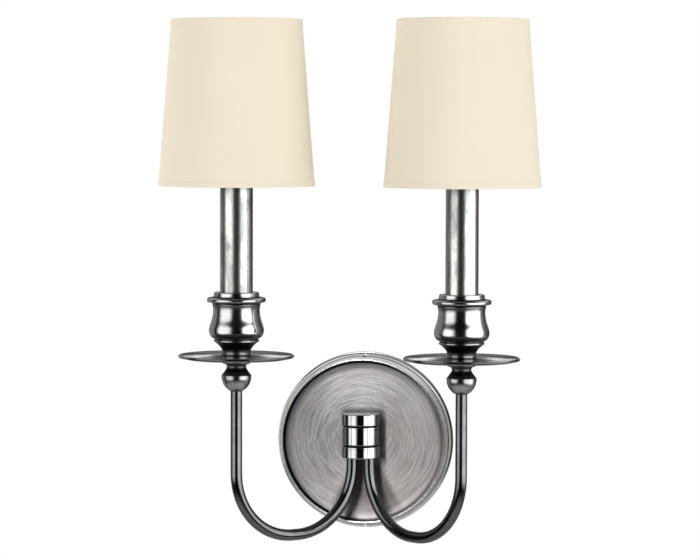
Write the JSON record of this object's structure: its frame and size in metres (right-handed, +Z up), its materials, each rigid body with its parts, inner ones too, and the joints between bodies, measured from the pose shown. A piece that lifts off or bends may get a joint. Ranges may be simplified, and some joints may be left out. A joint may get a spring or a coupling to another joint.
{
  "type": "double arm wall sconce",
  "caption": "Wall sconce with curved tube arms from a round brushed backplate, candle cups on drip pans, and cream tapered fabric shades clipped to the bulbs.",
  "frame": {"origin": "on the wall plane at the centre of the round backplate, which is the centre of the strap's bolt pattern", "axes": "+X to the viewer's right, +Z up, +Y into the wall; the sconce stands out to -Y"},
  "size_m": [0.3128, 0.1735, 0.4303],
  "materials": {
    "pewter": "antique brushed pewter, dark in the recesses",
    "brushed_plate": "antique brushed pewter, circular brush marks",
    "sleeve_silver": "aged silver, softly mottled",
    "shade_fabric": "cream hardback fabric",
    "zinc_steel": "zinc plated",
    "green_screw": "green ground screw",
    "copper": "bare copper",
    "brass": "plain brass",
    "black_phenolic": "moulded phenolic",
    "clear_glass": "clear lamp glass",
    "filament": "glass stem and filament wire",
    "white_wire": "white painted steel wire",
    "lead_insulation": "ivory insulation",
    "wire_nut": "moulded plastic"
  },
  "bodies": {
    "root": {"backplate": "brushed_plate", "ground_lead": "copper", "ground_screw": "green_screw", "hub_barrel": "pewter", "hub_lower_collar": "pewter", "hub_neck": "pewter", "hub_nipple": "zinc_steel", "hub_top_cap": "pewter", "left_arm": "pewter", "left_ball_knop": "pewter", "left_candle_cup": "pewter", "left_candle_nipple": "zinc_steel", "left_cup_nut": "zinc_steel", "left_drip_pan": "pewter", "left_lamp_leads": "lead_insulation", "left_socket_body": "black_phenolic", "left_socket_bracket": "zinc_steel", "left_socket_contact": "brass", "left_socket_shell": "brass", "nipple_nut": "zinc_steel", "plate_set_screws": "pewter", "right_arm": "pewter", "right_ball_knop": "pewter", "right_candle_cup": "pewter", "right_candle_nipple": "zinc_steel", "right_cup_nut": "zinc_steel", "right_drip_pan": "pewter", "right_lamp_leads": "lead_insulation", "right_socket_body": "black_phenolic", "right_socket_bracket": "zinc_steel", "right_socket_contact": "brass", "right_socket_shell": "brass", "wall_strap": "zinc_steel", "wire_nuts": "wire_nut"},
    "left_sleeve": {"left_candle_sleeve": "sleeve_silver"},
    "left_bulb_carrier": {"left_bulb_contact": "zinc_steel"},
    "left_bulb": {"left_bulb_cap": "brass", "left_bulb_glass": "clear_glass", "left_bulb_filament": "filament"},
    "left_shade_carrier": {"left_clip_rivet": "white_wire"},
    "left_shade": {"left_shade_shell": "shade_fabric", "left_shade_bottom_ring": "white_wire", "left_shade_spider": "white_wire", "left_bulb_clip": "white_wire"},
    "right_sleeve": {"right_candle_sleeve": "sleeve_silver"},
    "right_bulb_carrier": {"right_bulb_contact": "zinc_steel"},
    "right_bulb": {"right_bulb_cap": "brass", "right_bulb_glass": "clear_glass", "right_bulb_filament": "filament"},
    "right_shade_carrier": {"right_clip_rivet": "white_wire"},
    "right_shade": {"right_shade_shell": "shade_fabric", "right_shade_bottom_ring": "white_wire", "right_shade_spider": "white_wire", "right_bulb_clip": "white_wire"}
  },
  "joints": [
    {"name": "left_sleeve_lift", "type": "slide", "parent": "root", "child": "left_sleeve", "axis": [0, 0, 1], "range_m": [0, 0.012]},
    {"name": "left_bulb_travel", "type": "slide", "parent": "root", "child": "left_bulb_carrier", "axis": [0, 0, 1], "range_m": [0, 0.01015]},
    {"name": "left_bulb_turn", "type": "hinge", "parent": "left_bulb_carrier", "child": "left_bulb", "pos_m": [-0.0924, -0.1095, 0.225], "axis": [0, 0, 1], "range_deg": [0, 1440]},
    {"name": "left_shade_lift", "type": "slide", "parent": "left_bulb", "child": "left_shade_carrier", "axis": [0, 0, 1], "range_m": [0, 0.12]},
    {"name": "left_shade_turn", "type": "hinge", "parent": "left_shade_carrier", "child": "left_shade", "pos_m": [-0.0924, -0.1095, 0.315], "axis": [0, 0, 1], "continuous": true},
    {"name": "right_sleeve_lift", "type": "slide", "parent": "root", "child": "right_sleeve", "axis": [0, 0, 1], "range_m": [0, 0.012]},
    {"name": "right_bulb_travel", "type": "slide", "parent": "root", "child": "right_bulb_carrier", "axis": [0, 0, 1], "range_m": [0, 0.01015]},
    {"name": "right_bulb_turn", "type": "hinge", "parent": "right_bulb_carrier", "child": "right_bulb", "pos_m": [0.0924, -0.1095, 0.225], "axis": [0, 0, 1], "range_deg": [0, 1440]},
    {"name": "right_shade_lift", "type": "slide", "parent": "right_bulb", "child": "right_shade_carrier", "axis": [0, 0, 1], "range_m": [0, 0.12]},
    {"name": "right_shade_turn", "type": "hinge", "parent": "right_shade_carrier", "child": "right_shade", "pos_m": [0.0924, -0.1095, 0.315], "axis": [0, 0, 1], "continuous": true}
  ],
  "couplings": [
    {"joint": "left_bulb_turn", "follows": "left_bulb_travel", "rad_per_m": 2473.7},
    {"joint": "right_bulb_turn", "follows": "right_bulb_travel", "rad_per_m": 2473.7}
  ]
}
